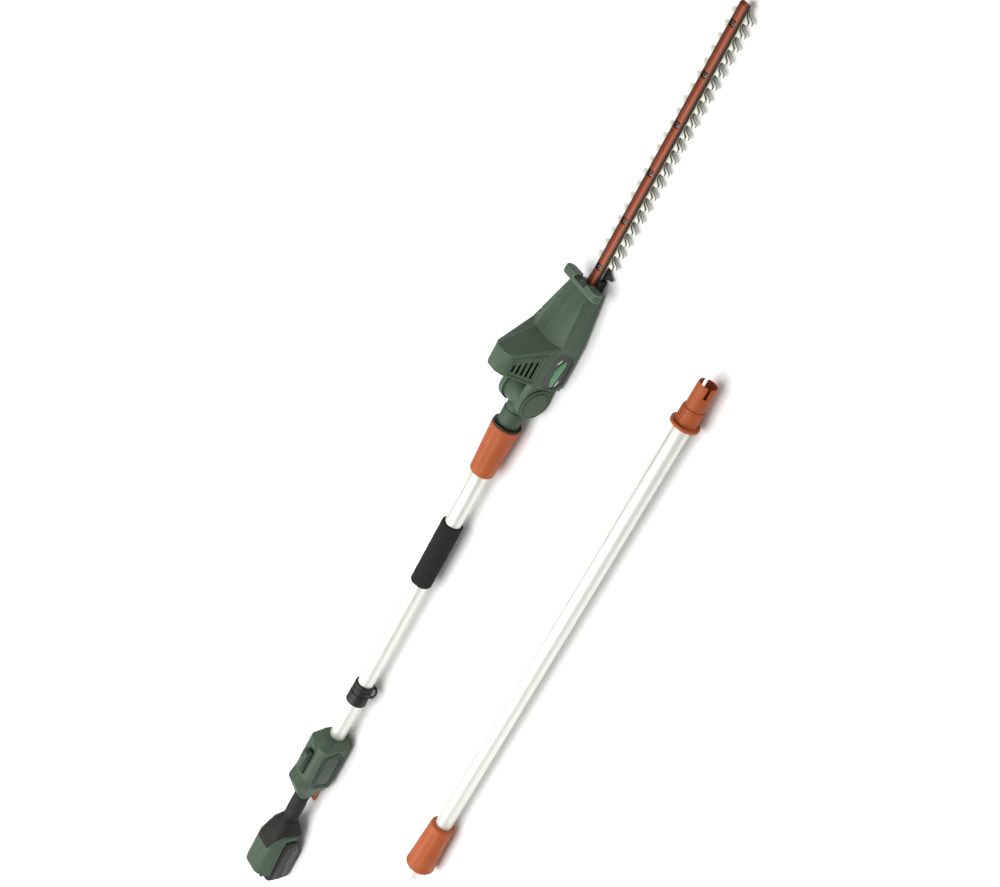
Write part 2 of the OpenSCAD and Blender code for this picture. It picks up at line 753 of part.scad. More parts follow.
module battery_case() {
    color(black) tool() difference() {
        intersection() {
            translate([0, 0, -axis_z]) linear_extrude(pack_split + axis_z) polygon(pack_plan(0));
            plate_y([[pack_x[1], 1], [pack_x[1], -13], [pack_x[1] - 31, -axis_z],
                [pack_x[0] + 9, -axis_z], [pack_x[0], -22], [pack_x[0], 1]], -pack_w, pack_w);
        }
        intersection() {
            translate([0, 0, 2.5 - axis_z]) linear_extrude(60) polygon(pack_plan(2.5));
            plate_y([[pack_x[1], 40], [pack_x[1], -10], [pack_x[1] - 34, 2.5 - axis_z],
                [pack_x[0] + 11, 2.5 - axis_z], [pack_x[0] + 2.5, -20], [pack_x[0], 40]], -40, 40);
        }
    }
}

module battery_lid() {
    color(black) tool() difference() {
        union() {
            translate([0, 0, pack_split]) linear_extrude(pack_top - pack_split - 3)
                polygon(pack_plan(0));
            translate([0, 0, pack_top - 3]) linear_extrude(3) polygon(pack_plan(2));
            block([pack_x[0] + 7, -rail_w[0], pack_top], [hx - 987, rail_w[0], rail_z[0] + 1]);
            block([pack_x[0] + 7, -rail_w[1], rail_z[0]], [hx - 987, rail_w[1], rail_z[1]]);
        }
        translate([0, 0, pack_split - 1]) linear_extrude(pack_top - 1.5) polygon(pack_plan(2.5));
        for (y = [-10, 0, 10]) block([hx - 1001, y - 1, 15.5], [hx - 980, y + 1, 22.5]);
        block([pack_x[0] - 1, -10.4, 0.6], [pack_x[0] + 6, 10.4, 9.6]);
    }
}

module battery_cells() {
    color([0.3, 0.45, 0.6]) tool() for (k = [0:4])
        along_y(pack_x[1] - 14 - k * 19.4, -32, -3) cylinder(r = 9.2, h = 64);
}

module battery_latch() {
    color(black) tool() block([pack_x[0], -10, 1], [pack_x[0] + 2.4, 10, 9.2]);
}

// ---------------------------------------------------------------- extension tube

module beside() { tool() translate([0, -ext_gap, sleeve_r[1] - axis_z]) children(); }

module extension_tube() {
    color(alloy) beside() along_x(ext_x) tube(ext_len - plug_len, 12);
}

module extension_plug() {
    color(orange) beside() along_x(ext_flange) rotate(60) plug_body(25, spigot_r);
}

module extension_disc() {
    color(black) beside() translate([ext_x + 12, 0, 0]) rotate([0, -90, 0]) end_disc();
}

module extension_contacts() {
    color(steel) beside() translate([ext_x + 12, 0, 0]) rotate([0, -90, 0]) contact_pins();
}

module extension_sleeve() {
    color(orange) beside() translate([ext_sleeve_x + sleeve_len, 0, 0]) rotate([0, -90, 0]) sleeve_body();
}

pole_tube();
pole_cable();
foam_grip();
strap_ring();
strap_band();
strap_screw();
pole_end_disc();
pole_contacts();
handle_shell_left();
handle_shell_right();
grip_rubber();
side_panel_left();
side_panel_right();
handle_screws();
main_switch();
control_board();
battery_terminals();
trigger();
lock_off_lever();
battery_case();
battery_lid();
battery_cells();
battery_latch();
locking_sleeve();
neck_yoke();
neck_ring();
pivot_pin();
pivot_cap_left();
pivot_cap_right();
head_shell_left();
head_shell_right();
vent_grille_left();
vent_grille_right();
badge_plate_left();
badge_plate_right();
cross_guard();
entry_block();
root_hook();
head_screws();
gearbox_base();
gearbox_plate();
shaft_bearings();
motor_can();
motor_rotor();
motor_fan();
crank_gear();
upper_blade();
lower_blade();
guard_bar();
guard_bolts();
tilt_button();
extension_tube();
extension_plug();
extension_disc();
extension_contacts();
extension_sleeve();
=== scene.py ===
import json
import math

import bmesh
import bpy
from mathutils import Matrix, Vector


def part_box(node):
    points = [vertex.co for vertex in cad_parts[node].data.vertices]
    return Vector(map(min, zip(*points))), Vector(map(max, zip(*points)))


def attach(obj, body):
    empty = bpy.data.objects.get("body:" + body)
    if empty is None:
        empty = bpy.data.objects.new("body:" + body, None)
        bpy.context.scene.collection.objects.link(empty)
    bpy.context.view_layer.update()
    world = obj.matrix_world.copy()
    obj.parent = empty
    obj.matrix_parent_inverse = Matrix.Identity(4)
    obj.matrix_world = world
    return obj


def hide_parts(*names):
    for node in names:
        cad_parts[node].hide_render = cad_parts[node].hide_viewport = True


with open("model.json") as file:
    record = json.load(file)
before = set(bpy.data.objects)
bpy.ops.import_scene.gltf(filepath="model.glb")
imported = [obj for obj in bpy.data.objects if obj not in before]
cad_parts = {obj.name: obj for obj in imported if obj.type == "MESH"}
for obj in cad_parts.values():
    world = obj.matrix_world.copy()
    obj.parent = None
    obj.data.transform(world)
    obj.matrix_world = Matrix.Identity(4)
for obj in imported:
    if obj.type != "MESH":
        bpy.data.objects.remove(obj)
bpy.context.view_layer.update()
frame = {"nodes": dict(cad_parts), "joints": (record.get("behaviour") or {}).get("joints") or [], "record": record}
nodes = frame["nodes"]
scene = bpy.context.scene

# The tool's datum: on the pole's centre line, in the pole joint, so far behind the tilt pin
TILT_PIN_X = 108
joints = {j["name"]: j for j in frame["joints"]}
DATUM = Vector(joints["head_tilt"]["pos_m"]) - Vector((TILT_PIN_X / 1000, 0, 0))


def at(x, y, z):
    """A point given in millimetres from the tool's datum, in the row frame."""
    return DATUM + Vector((x, y, z)) / 1000


# ---------------------------------------------------------------- camera, floor, light

CAMERA_SIDE = 40        # degrees round the pole, from straight above to its right
CAMERA_AHEAD = 30       # degrees along the pole, towards the blades
CAMERA_ROLL = 28.68     # degrees
CAMERA_AWAY = 3.492     # m from the datum
CAMERA_AIM = 0.00144    # how far it looks past the datum, across the pole, as a slope
CAMERA_LENS = 75.17     # mm on a 36 mm sensor


def make_camera():
    side, ahead, roll = (math.radians(v) for v in (CAMERA_SIDE, CAMERA_AHEAD, CAMERA_ROLL))
    place = Vector((math.sin(ahead), -math.cos(ahead) * math.sin(side), math.cos(ahead) * math.cos(side)))
    look = -place
    along = (Vector((1, 0, 0)) - look.x * look).normalized()
    across = look.cross(along)
    look = (look + across * CAMERA_AIM).normalized()
    across = look.cross(along).normalized()
    along = across.cross(look)
    right = math.cos(roll) * across + math.sin(roll) * along
    up = -math.sin(roll) * across + math.cos(roll) * along
    data = bpy.data.cameras.new("camera")
    data.sensor_fit = "HORIZONTAL"
    data.sensor_width = 36
    data.lens = CAMERA_LENS
    data.clip_end = 30
    cam = bpy.data.objects.new("camera", data)
    scene.collection.objects.link(cam)
    turn = Matrix((right, up, -look)).transposed()
    cam.matrix_world = Matrix.Translation(DATUM + place * CAMERA_AWAY) @ turn.to_4x4()
    scene.camera = cam


def area_light(name, place, aim, size, power):
    data = bpy.data.lights.new(name, "AREA")
    data.shape = "RECTANGLE"
    data.size, data.size_y = size
    data.energy = power
    light = bpy.data.objects.new(name, data)
    scene.collection.objects.link(light)
    light.location = place
    light.rotation_euler = (Vector(aim) - Vector(place)).to_track_quat("-Z", "Y").to_euler()


AMBIENT = 0.4           # strength of the white surround
FLOOR_HALF = 9          # m
KEY_POWER = 385         # W


def make_studio():
    world = bpy.data.worlds.new("world")
    world.use_nodes = True
    back = world.node_tree.nodes["Background"]
    back.inputs[0].default_value = (1, 1, 1, 1)
    back.inputs[1].default_value = AMBIENT
    scene.world = world
    scene.view_settings.view_transform = "Standard"
    mesh = bpy.data.meshes.new("floor")
    bm = bmesh.new()
    bmesh.ops.create_grid(bm, x_segments=8, y_segments=8, size=FLOOR_HALF)
    bm.to_mesh(mesh)
    bm.free()
    floor = bpy.data.objects.new("floor", mesh)
    scene.collection.objects.link(floor)
    mat = bpy.data.materials.new("floor")
    mat.use_nodes = True
    shader = mat.node_tree.nodes["Principled BSDF"]
    shader.inputs["Base Color"].default_value = (0.95, 0.95, 0.95, 1)
    shader.inputs["Roughness"].default_value = 0.9
    mesh.materials.append(mat)
    area_light("key", (-1.9, 0.35, 4.5), (0.1, 0, 0), (5.5, 5.5), KEY_POWER)


# ---------------------------------------------------------------- materials

NOISE_LOW, NOISE_HIGH = 0.3, 0.7    # nearly all of a noise lies between these


class Shade:
    """A procedural material under construction."""

    def __init__(self, name, metallic=0.0, rough=0.5, **sockets):
        self.mat = bpy.data.materials.new(name)
        self.mat.use_nodes = True
        self.tree = self.mat.node_tree
        self.shader = self.tree.nodes["Principled BSDF"]
        self.shader.inputs["Metallic"].default_value = metallic
        self.shader.inputs["Roughness"].default_value = rough
        for key, value in sockets.items():
            self.shader.inputs[key.replace("_", " ")].default_value = value
        self.coord = self.node("ShaderNodeTexCoord").outputs["Object"]
        self.last_bump = None

    def node(self, kind, **props):
        n = self.tree.nodes.new(kind)
        for key, value in props.items():
            setattr(n, key, value)
        return n

    def link(self, a, b):
        self.tree.links.new(a, b)

    def stretched(self, scale):
        m = self.node("ShaderNodeMapping")
        m.inputs["Scale"].default_value = scale
        self.link(self.coord, m.inputs["Vector"])
        return m.outputs[0]

    def noise(self, scale, detail=4, rough=0.55, coord=None):
        n = self.node("ShaderNodeTexNoise")
        n.inputs["Scale"].default_value = scale
        n.inputs["Detail"].default_value = detail
        n.inputs["Roughness"].default_value = rough
        self.link(coord or self.coord, n.inputs["Vector"])
        return n.outputs["Fac"]

    def cells(self, scale):
        n = self.node("ShaderNodeTexVoronoi", feature="F1")
        n.inputs["Scale"].default_value = scale
        self.link(self.coord, n.inputs["Vector"])
        return n.outputs["Distance"]

    def spread(self, value, low, high):
        """Spreads the middle of a noise over a range."""
        n = self.node("ShaderNodeMapRange")
        for i, v in zip((1, 2, 3, 4), (NOISE_LOW, NOISE_HIGH, low, high)):
            n.inputs[i].default_value = v
        self.link(value, n.inputs[0])
        return n.outputs[0]

    def ramp(self, value, stops):
        n = self.node("ShaderNodeValToRGB")
        ramp = n.color_ramp
        while len(ramp.elements) < len(stops):
            ramp.elements.new(0.5)
        for e, (pos, colour) in zip(ramp.elements, stops):
            e.position = pos
            e.color = (*colour, 1)
        self.link(value, n.inputs[0])
        return n.outputs[0]

    def colour(self, value):
        self.link(value, self.shader.inputs["Base Color"])

    def rough(self, value):
        self.link(value, self.shader.inputs["Roughness"])

    def bump(self, height, strength, distance):
        n = self.node("ShaderNodeBump")
        n.inputs["Strength"].default_value = strength
        n.inputs["Distance"].default_value = distance
        self.link(height, n.inputs["Height"])
        if self.last_bump:
            self.link(self.last_bump, n.inputs["Normal"])
        self.last_bump = n.outputs[0]
        self.link(n.outputs[0], self.shader.inputs["Normal"])


def tone(colour, k):
    return tuple(min(1, c * k) for c in colour)


def mottled(colour, vary):
    """Colour stops a little darker and a little lighter than a colour."""
    return [(NOISE_LOW, tone(colour, 1 - vary)), (NOISE_HIGH, tone(colour, 1 + vary))]


def plastic(name, colour, rough=0.5, grain=900, depth=0.00012, **sockets):
    """Moulded plastic: a fine grain, and colour and gloss that vary slightly."""
    s = Shade(name, rough=rough, **sockets)
    s.colour(s.ramp(s.noise(9, 5), mottled(colour, 0.1)))
    s.rough(s.spread(s.noise(60, 4), rough - 0.06, rough + 0.07))
    s.bump(s.noise(grain, 2), 0.35, depth)
    return s.mat


def metal(name, colour, rough=0.3, stretch=(1, 1, 1), scale=300, vary=0.08, metallic=1.0):
    """Drawn or turned metal: stretch sets how its marks run."""
    s = Shade(name, metallic=metallic, rough=rough)
    coord = s.stretched(stretch)
    s.colour(s.ramp(s.noise(20, 4, coord=coord), mottled(colour, vary)))
    s.rough(s.spread(s.noise(scale, 3, coord=coord), rough - 0.07, rough + 0.08))
    s.bump(s.noise(scale, 3, coord=coord), 0.25, 0.00005)
    return s.mat


def foam_material():
    s = Shade("foam", rough=0.95, Specular_IOR_Level=0.2)
    fine = s.cells(620)
    s.colour(s.ramp(fine, [(0.1, (0.004, 0.004, 0.004)), (0.6, (0.024, 0.023, 0.021))]))
    s.bump(s.noise(420, 5, 0.7), 0.7, 0.0006)
    s.bump(fine, 0.5, 0.0004)
    return s.mat


def rubber_material(name, colour):
    s = Shade(name, rough=0.72, Specular_IOR_Level=0.3)
    s.colour(s.ramp(s.noise(14, 4), mottled(colour, 0.15)))
    s.rough(s.spread(s.noise(80, 3), 0.64, 0.8))
    s.bump(s.cells(700), 0.4, 0.00018)
    return s.mat


def blade_material():
    """Bright ground faces, with painted shade on the edges of the sheet, darker as a face turns from straight up.
    """
    s = Shade("blade_steel", metallic=0.15, rough=0.4)
    # colour follows how flat a face lies, plus a little noise: painted shade darkens the sheet's edges and bevels,
    # which face sideways
    split = s.node("ShaderNodeSeparateXYZ")
    s.link(s.node("ShaderNodeTexCoord").outputs["Normal"], split.inputs[0])
    flat = s.node("ShaderNodeMath", operation="ABSOLUTE")
    s.link(split.outputs[2], flat.inputs[0])
    grain = s.node("ShaderNodeMath", operation="MULTIPLY_ADD")
    grain.inputs[1].default_value = 0.08
    s.link(s.noise(90, 3, coord=s.stretched((1, 12, 12))), grain.inputs[0])
    s.link(flat.outputs[0], grain.inputs[2])
    s.colour(s.ramp(grain.outputs[0], [
        (0.55, (0.06, 0.068, 0.048)), (0.86, (0.26, 0.27, 0.22)), (0.95, (0.62, 0.62, 0.53))]))
    s.rough(s.spread(s.noise(90, 3), 0.34, 0.46))
    s.bump(s.noise(90, 3, coord=s.stretched((1, 12, 12))), 0.2, 0.00004)
    return s.mat


BAR_WIDTH = 0.02        # m


def copper_paint():
    """Copper paint, with painted shade along the bar's left side and its right edge, and a painted highlight along
    its right ridge.
    """
    s = Shade("copper_paint", rough=0.5, Specular_IOR_Level=0.2)
    split = s.node("ShaderNodeSeparateXYZ")
    s.link(s.coord, split.inputs[0])
    across = s.node("ShaderNodeMath", operation="MULTIPLY_ADD")
    across.inputs[1].default_value = 1 / BAR_WIDTH
    across.inputs[2].default_value = 0.5 - DATUM.y / BAR_WIDTH
    s.link(split.outputs[1], across.inputs[0])
    ripple = s.node("ShaderNodeMath", operation="MULTIPLY_ADD")
    ripple.inputs[1].default_value = 0.06
    ripple.inputs[2].default_value = -0.03
    s.link(s.noise(40, 4), ripple.inputs[0])
    total = s.node("ShaderNodeMath", operation="ADD")
    s.link(across.outputs[0], total.inputs[0])
    s.link(ripple.outputs[0], total.inputs[1])
    # across the bar from its right edge: painted shade at the edge, a painted highlight along the right ridge,
    # then painted shade towards the left
    s.colour(s.ramp(total.outputs[0], [
        (0.04, (0.06, 0.03, 0.016)), (0.12, (0.13, 0.045, 0.02)), (0.2, (0.28, 0.075, 0.035)),
        (0.26, (0.27, 0.06, 0.024)), (0.31, (0.50, 0.17, 0.085)), (0.36, (0.34, 0.062, 0.02)),
        (0.46, (0.30, 0.045, 0.012)), (0.56, (0.15, 0.03, 0.011)), (0.76, (0.09, 0.022, 0.009))]))
    s.rough(s.spread(s.noise(60, 4), 0.44, 0.56))
    s.bump(s.noise(260, 2), 0.3, 0.00008)
    return s.mat


GREEN = (0.066, 0.104, 0.067)
ORANGE = (0.38, 0.086, 0.023)
MATS = {
    "pole_metal": metal("pole_metal", (0.80, 0.81, 0.75), 0.42, (1, 6, 6), 60, 0.02, 0.5),
    "cable_rubber": rubber_material("cable_rubber", (0.03, 0.03, 0.03)),
    "foam": foam_material(),
    "black_plastic": plastic("black_plastic", (0.013, 0.013, 0.011), 0.45, Specular_IOR_Level=0.25),
    "steel": metal("steel", (0.58, 0.59, 0.6), 0.3),
    "contact_metal": metal("contact_metal", (0.85, 0.83, 0.72), 0.18),
    "green_plastic": plastic("green_plastic", GREEN, 0.5, Specular_IOR_Level=0.22),
    "dark_green_plastic": plastic("dark_green_plastic", tone(GREEN, 0.66), 0.46,
                                  Specular_IOR_Level=0.25),
    "glossy_black": plastic("glossy_black", (0.006, 0.006, 0.005), 0.13, 240, 0.00002,
                            Specular_IOR_Level=0.5),
    "grip_rubber": rubber_material("grip_rubber", (0.013, 0.013, 0.010)),
    "orange_plastic": plastic("orange_plastic", ORANGE, 0.46, Specular_IOR_Level=0.22),
    "copper_paint": copper_paint(),
    "blade_steel": blade_material(),
    "dark_steel": metal("dark_steel", (0.10, 0.10, 0.10), 0.35),
    "gearbox_alloy": metal("gearbox_alloy", (0.55, 0.56, 0.56), 0.45),
    "board_green": plastic("board_green", (0.03, 0.16, 0.07), 0.35),
    "cell_wrap": plastic("cell_wrap", (0.1, 0.22, 0.4), 0.3),
}
# paler green for rounded edges: a painted highlight along the edges
green_edge_highlight = plastic("green_edge_highlight", tone(GREEN, 1.9), 0.34)
# a darker copy of the green: painted shade for parts that should read darker than the head
mid_green = plastic("mid_green", tone(GREEN, 0.86), 0.5, Specular_IOR_Level=0.22)
deep_green = plastic("deep_green", tone(GREEN, 0.42), 0.42, Specular_IOR_Level=0.3)
badge_green = plastic("badge_green", (0.008, 0.20, 0.045), 0.12, 200, 0.00002, Coat_Weight=0.6)
# pale colour for the printed turning arrow, and for painted highlights on the badges
pale_print_and_highlight = plastic("pale_print_and_highlight", (0.75, 0.72, 0.66), 0.4)
# nodes whose green differs from that of their slot; mid_green is a darker copy of the same green, painted shade
OWN = {"neck_yoke": mid_green, "pivot_cap_left": mid_green, "handle_shell_left": mid_green,
       "handle_shell_right": mid_green, "lock_off_lever": deep_green}


def soften(o, width, angle, edge=None):
    """Rounds the edges sharper than an angle with modifiers, and gives them an edge material when one is given: a
    painted highlight.
    """
    weld = o.modifiers.new("weld", "WELD")
    weld.merge_threshold = 0.00001
    flat = o.modifiers.new("flat", "DECIMATE")
    flat.decimate_type = "DISSOLVE"
    flat.angle_limit = math.radians(0.6)
    bevel = o.modifiers.new("bevel", "BEVEL")
    bevel.width = width / 1000
    bevel.segments = 2
    bevel.limit_method = "ANGLE"
    bevel.angle_limit = math.radians(angle)
    bevel.harden_normals = True
    if edge:
        o.data.materials.append(edge)
        bevel.material = len(o.data.materials) - 1
    for p in o.data.polygons:
        p.use_smooth = True


def finish_node(name, slot, width, angle, worn):
    """Material and softly rounded edges on a CAD node; with worn set, the rounded edges are paler, a painted
    highlight.
    """
    o = nodes[name]
    o.data.materials.clear()
    o.data.materials.append(OWN.get(name, MATS[slot]))
    soften(o, width, angle, green_edge_highlight if worn else None)


# ---------------------------------------------------------------- pieces

def piece(name, body, slot, verts, faces, mat=None, replaces=(), bevel=0, sharp=35):
    """A mesh given in millimetres from the tool's datum."""
    mesh = bpy.data.meshes.new(name)
    mesh.from_pydata([at(*v) for v in verts], [], faces)
    bm = bmesh.new()
    bm.from_mesh(mesh)
    bmesh.ops.remove_doubles(bm, verts=bm.verts, dist=1e-6)
    bmesh.ops.recalc_face_normals(bm, faces=bm.faces)
    bm.to_mesh(mesh)
    bm.free()
    o = bpy.data.objects.new(name, mesh)
    scene.collection.objects.link(o)
    for p in mesh.polygons:
        p.use_smooth = True
    mesh.set_sharp_from_angle(angle=math.radians(sharp))
    mesh.materials.append(mat or MATS[slot])
    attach(o, body)
    if replaces:
        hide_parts(*replaces)
    if bevel:
        soften(o, bevel, 24)


def rings_mesh(rings, closed=False):
    """Faces between rings of equal length; the ends are joined to each other or capped."""
    verts, faces, n = [v for r in rings for v in r], [], len(rings[0])
    for k in range(len(rings) if closed else len(rings) - 1):
        a, b = k * n, (k + 1) % len(rings) * n
        for i in range(n):
            j = (i + 1) % n
            faces.append((a + i, a + j, b + j, b + i))
    if not closed:
        faces.append(tuple(range(n)))
        faces.append(tuple(range(len(verts) - n, len(verts))))
    return verts, faces


def join(mesh, *others):
    """One mesh out of several."""
    v, f = list(mesh[0]), list(mesh[1])
    for more_v, more_f in others:
        f += [tuple(i + len(v) for i in face) for face in more_f]
        v += more_v
    return v, f


def lathe(profile, place, axis="x", sign=1, n=96, shape=None):
    """Turned body: the profile is a loop of (distance along the axis, radius), and shape may
    change the radius with the angle."""
    rings = []
    for a, r in profile:
        ring = []
        for i in range(n):
            t = 2 * math.pi * i / n
            q = shape(a, r, t) if shape else r
            c, d = q * math.cos(t), q * math.sin(t)
            off = (a * sign, c, d) if axis == "x" else (c, a * sign, d)
            ring.append(tuple(p + o for p, o in zip(place, off)))
        rings.append(ring)
    return rings_mesh(rings, closed=True)


def arc(cx, cy, r, a0, a1, n):
    """Points of a circular arc, from a0 to a1 degrees."""
    return [(cx + r * math.cos(math.radians(a0 + (a1 - a0) * i / n)),
             cy + r * math.sin(math.radians(a0 + (a1 - a0) * i / n))) for i in range(n + 1)]


def inset(points, d):
    """Convex outline moved inwards by d."""
    n = len(points)
    pairs = [(points[i], points[(i + 1) % n]) for i in range(n)]
    area = sum(p[0] * q[1] - q[0] * p[1] for p, q in pairs)
    s = 1 if area > 0 else -1
    lines = []
    for p, q in pairs:
        p, q = Vector(p), Vector(q)
        e = (q - p).normalized()
        lines.append((p + Vector((-e.y, e.x)) * d * s, e))
    out = []
    for i in range(n):
        (p, e), (q, f) = lines[i - 1], lines[i]
        t = ((q - p).x * f.y - (q - p).y * f.x) / (e.x * f.y - e.y * f.x)
        out.append(tuple(p + e * t))
    return out


def on_side(side, depth):
    """Maps an outline in X-Z, and a height above it, to a flat side of the tool."""
    return lambda p, h: (p[0], side * (depth + h), p[1])


def on_slope(side):
    """The same for the sloping sides of the tower, measured from their upper edge."""
    angle = math.atan(67 / 23)

    def place(p, h):
        y = p[1] * math.cos(angle) - h * math.sin(angle)
        z = p[1] * math.sin(angle) + h * math.cos(angle)
        return (p[0], side * (21 - y), 96 + z)
    return place


def relief(outline, steps, place, closed=False):
    """Stepped plate or frame: each step is (inset, height)."""
    return rings_mesh([[place(p, h) for p in inset(outline, d)] for d, h in steps], closed=closed)


SLEEVE_REAR = -67       # the pole's sleeve starts here
RIB_FROM, RIB_TO = 9, 99        # the shallow ribs of a sleeve, along it
ARROW_AT = math.radians(-52)    # round a sleeve


def sleeve(name, body, node, x, y, z, sign):
    """Orange locking sleeve, tapered, with eight lobes and fine grooves between them."""
    def ribs(a, r, t):
        if r < 21.5 or a < RIB_FROM or a > RIB_TO:
            return r
        fade = min(1, (a - RIB_FROM) / 5, (RIB_TO - a) / 4)
        k = math.degrees(t) % 45 - 22.5
        cut = sum(0.75 * math.exp(-((k - q) / 1.5) ** 2) for q in (-4.5, 4.5))
        return r - fade * (cut + 0.22 * (1 - math.cos(8 * t)))
    lip = [math.radians(15 * k) for k in range(1, 7)]
    profile = [(0, 15.4), (0, 17)] + [(6 - 6 * math.cos(u), 16.4 + 6 * math.sin(u)) for u in lip]
    profile += [(a, 22.4 + 4.1 * (a - 6) / 96)
                for a in (9, 11, 14, 20, 30, 42, 54, 66, 78, 88, 95, 97.5, 99)]
    profile += [(100, 26.7), (103, 26.7), (104.5, 26.1), (105, 25.2), (105, 22.2), (104, 21),
                (101, 20.75), (60, 20.75), (20, 20.75), (19, 20.2), (19, 15.4)]
    v, f = lathe(profile, (x, y, z), sign=sign, n=288, shape=ribs)
    piece(name, body, "orange_plastic", v, f, replaces=(node,), sharp=40)
    # a plain arrow that shows the way to turn
    turn = []
    for s0, a0 in [(-4.2, 84), (0.6, 84), (0.6, 81.6), (4.4, 85.2), (0.6, 88.8), (0.6, 86.4),
                   (-4.2, 86.4)]:
        t = ARROW_AT + s0 / 26
        turn.append([(x + sign * a0, y + r * math.cos(t), z + r * math.sin(t)) for r in (25.3, 26.35)])
    v, f = rings_mesh([[p[0] for p in turn], [p[1] for p in turn]])
    piece(name + "_arrow", body, "orange_plastic", v, f, mat=pale_print_and_highlight)


def make_sleeves():
    sleeve("sleeve_ribbed", "sleeve", "locking_sleeve", SLEEVE_REAR, 0, 0, 1)
    low, high = [(Vector(v) - DATUM) * 1000 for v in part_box("extension_sleeve")]
    sleeve("extension_sleeve_ribbed", "extension_sleeve", "extension_sleeve", high.x,
           (low.y + high.y) / 2, (low.z + high.z) / 2, -1)


def make_foam():
    """Foam hand grip, slightly uneven from use."""
    def worn(a, r, t):
        if r < 17:
            return r
        return r + 0.16 * math.sin(0.23 * a + 3 * t) + 0.12 * math.sin(0.61 * a - 5 * t + 1)
    turn = [math.radians(22.5 * k) for k in range(5)]
    profile = [(0, 15.1), (0, 17.6)]
    profile += [(2.4 - 2.4 * math.cos(u), 17.6 + 2.4 * math.sin(u)) for u in turn[1:]]
    profile += [(a, 20) for a in range(6, 134, 4)]
    profile += [(136.6 + 2.4 * math.sin(u), 17.6 + 2.4 * math.cos(u)) for u in turn[:4]]
    profile += [(139, 17.6), (139, 15.1)]
    v, f = lathe(profile, (-322, 0, 0), n=72, shape=worn)
    piece("foam_sleeve", "pole", "foam", v, f, replaces=("foam_grip",), sharp=60)


def make_grip():
    """Rubber of the hand grip, with a raised pad under the palm and a collar at each end."""
    def pad(a, r, t):
        if r < 14:
            return r
        swell = 0.7 * math.sin(math.pi * min(max((a - 5) / 60, 0), 1))
        side = abs(t - math.pi)
        u, w = (a - 34) / 22, (side - 0.25) / 0.42
        d = math.hypot(u, w)
        raised = 0.9 * max(0, min(1, (1.05 - d) / 0.12))
        groove = 0.45 * max(0, 1 - abs(d - 1.12) / 0.09)
        return r + swell - 0.4 + (raised - groove)
    profile = [(0, 11.6), (0, 15.6), (0.8, 16.4), (3.6, 16.5), (4.8, 15.8), (5.4, 14.8)]
    profile += [(a / 2, 14.9) for a in range(13, 120)]
    profile += [(60.4, 15), (61.2, 15.6), (62.4, 15.7), (63.2, 15), (64, 15), (64.8, 15.6),
                (66.2, 15.6), (67, 14.9), (67, 11.6)]
    v, f = lathe(profile, (-934, 0, 6), n=120, shape=pad)
    piece("grip_moulding", "pole", "grip_rubber", v, f, replaces=("grip_rubber",), sharp=50)


BOW_AT = 222            # degrees round the pole
BOW_X = -586
BOW_RADIUS = 26.2
BOW_HALF = (2.9, 1.7)   # along the pole and across the bow


def squared(v):
    """Turns the sine or cosine of a circle into that of a rounded square."""
    return math.copysign(abs(v) ** 0.6, v)


def make_strap():
    """Clamping band, and the collar with the eye for a carrying strap."""
    def seam(a, r, t):
        return r - (0.8 * math.exp(-((math.degrees(t) - 270) / 2.4) ** 2) if r > 17.5 else 0)
    band = [(0, 15.1), (0, 19.4), (0.8, 20), (3, 19.9), (6, 19.4), (21, 19.3), (22.4, 18.8),
            (23.4, 17.2), (26, 17), (26, 15.1)]
    v, f = lathe(band, (-619, 0, 0), n=180, shape=seam)
    piece("strap_clamp", "pole", "black_plastic", v, f, replaces=("strap_band",), sharp=30)
    ring = [(0, 15.1), (0, 17.6), (0.8, 18.8), (2, 19), (9, 18.9), (10, 18.2), (11, 18.2),
            (12, 18.9), (18.4, 18.8), (19.5, 18.3), (20, 17.4), (20, 15.1)]
    # the bow that stands off the collar: its path is (degrees from its middle, radius)
    path = [(-42.5, 17.6), (-41.5, 20.8), (-39.8, 23.8), (-36.2, 25.7), (-30, BOW_RADIUS)]
    path += [(a, BOW_RADIUS) for a in range(-24, 25, 6)] + [(-a, r) for a, r in reversed(path)]
    points = []
    for a, r in path:
        t = math.radians(BOW_AT + a)
        points.append(Vector((r * math.cos(t), r * math.sin(t))))
    rings = []
    for i, p in enumerate(points):
        run = (points[min(i + 1, len(points) - 1)] - points[max(i - 1, 0)]).normalized()
        out = Vector((run.y, -run.x))
        turn = [math.radians(22.5 * j) for j in range(16)]
        rings.append([(BOW_X + BOW_HALF[0] * squared(math.sin(q)),
                       p.x + out.x * BOW_HALF[1] * squared(math.cos(q)),
                       p.y + out.y * BOW_HALF[1] * squared(math.cos(q))) for q in turn])
    v, f = join(lathe(ring, (-593, 0, 0), n=120), rings_mesh(rings))
    piece("strap_loop", "pole", "black_plastic", v, f, replaces=("strap_ring",), sharp=40)


def rounded_plan(rear, front, half, r_rear, r_front):
    """Outline of the battery from above, with rounded corners."""
    pts = arc(front - r_front, half - r_front, r_front, 0, 90, 6)
    pts += arc(rear + r_rear, half - r_rear, r_rear, 90, 180, 8)
    pts += arc(rear + r_rear, r_rear - half, r_rear, 180, 270, 8)
    pts += arc(front - r_front, r_front - half, r_front, 270, 360, 6)
    return pts


BATTERY_HALF = 36


